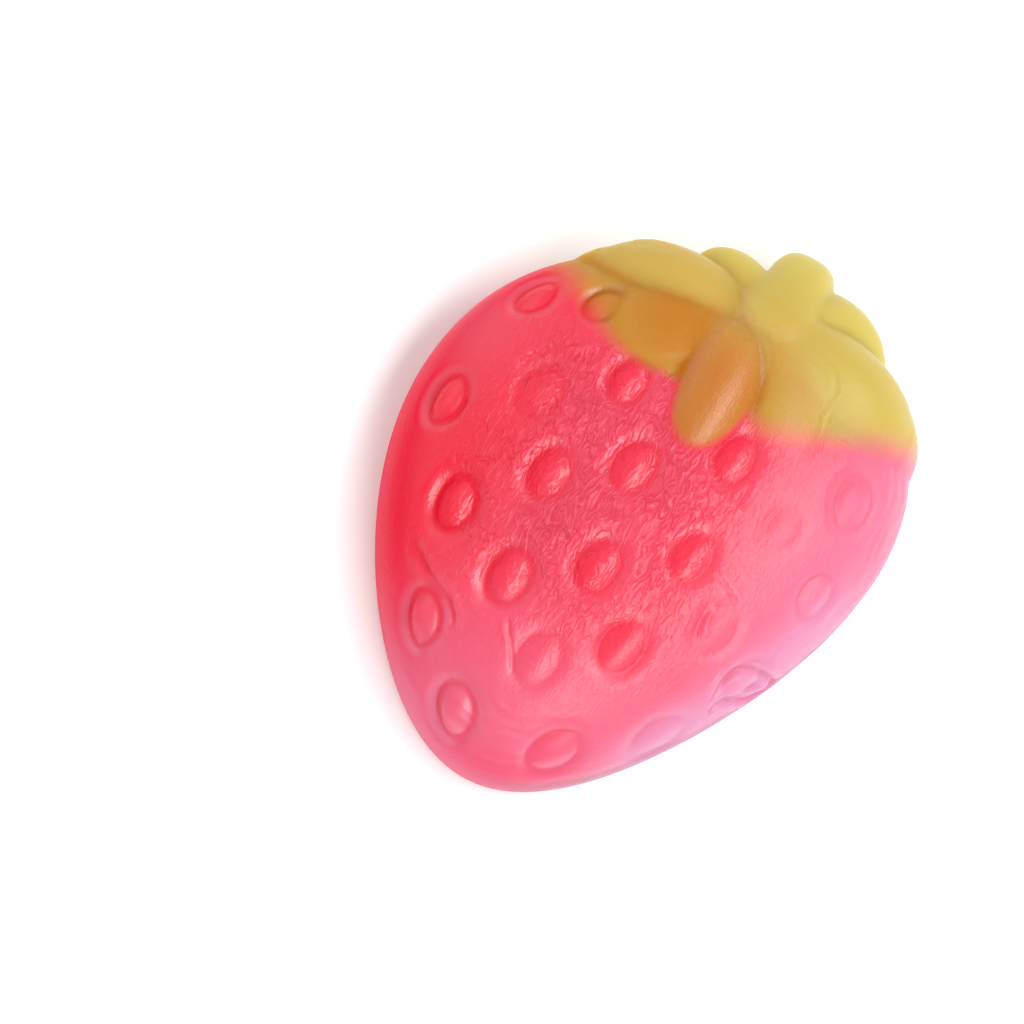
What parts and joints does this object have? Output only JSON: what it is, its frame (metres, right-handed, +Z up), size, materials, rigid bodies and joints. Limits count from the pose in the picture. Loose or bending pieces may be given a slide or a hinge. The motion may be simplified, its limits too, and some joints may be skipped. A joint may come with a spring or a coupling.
{
  "type": "gummy strawberry",
  "caption": "Large moulded jelly sweet in the shape of a strawberry: pink-red dome with oval seed pits, yellow-green leaves and stem stub, flat back to lie on.",
  "frame": {"origin": "middle of the footprint, on the surface that the flat back rests on", "axes": "+Y toward the stem along the length, +X across the width, +Z up out of the domed face"},
  "size_m": [0.0358, 0.0448, 0.0124],
  "materials": {
    "fruit_jelly": "satin"
  },
  "bodies": {
    "root": {"gummy_strawberry": "fruit_jelly"}
  },
  "joints": []
}
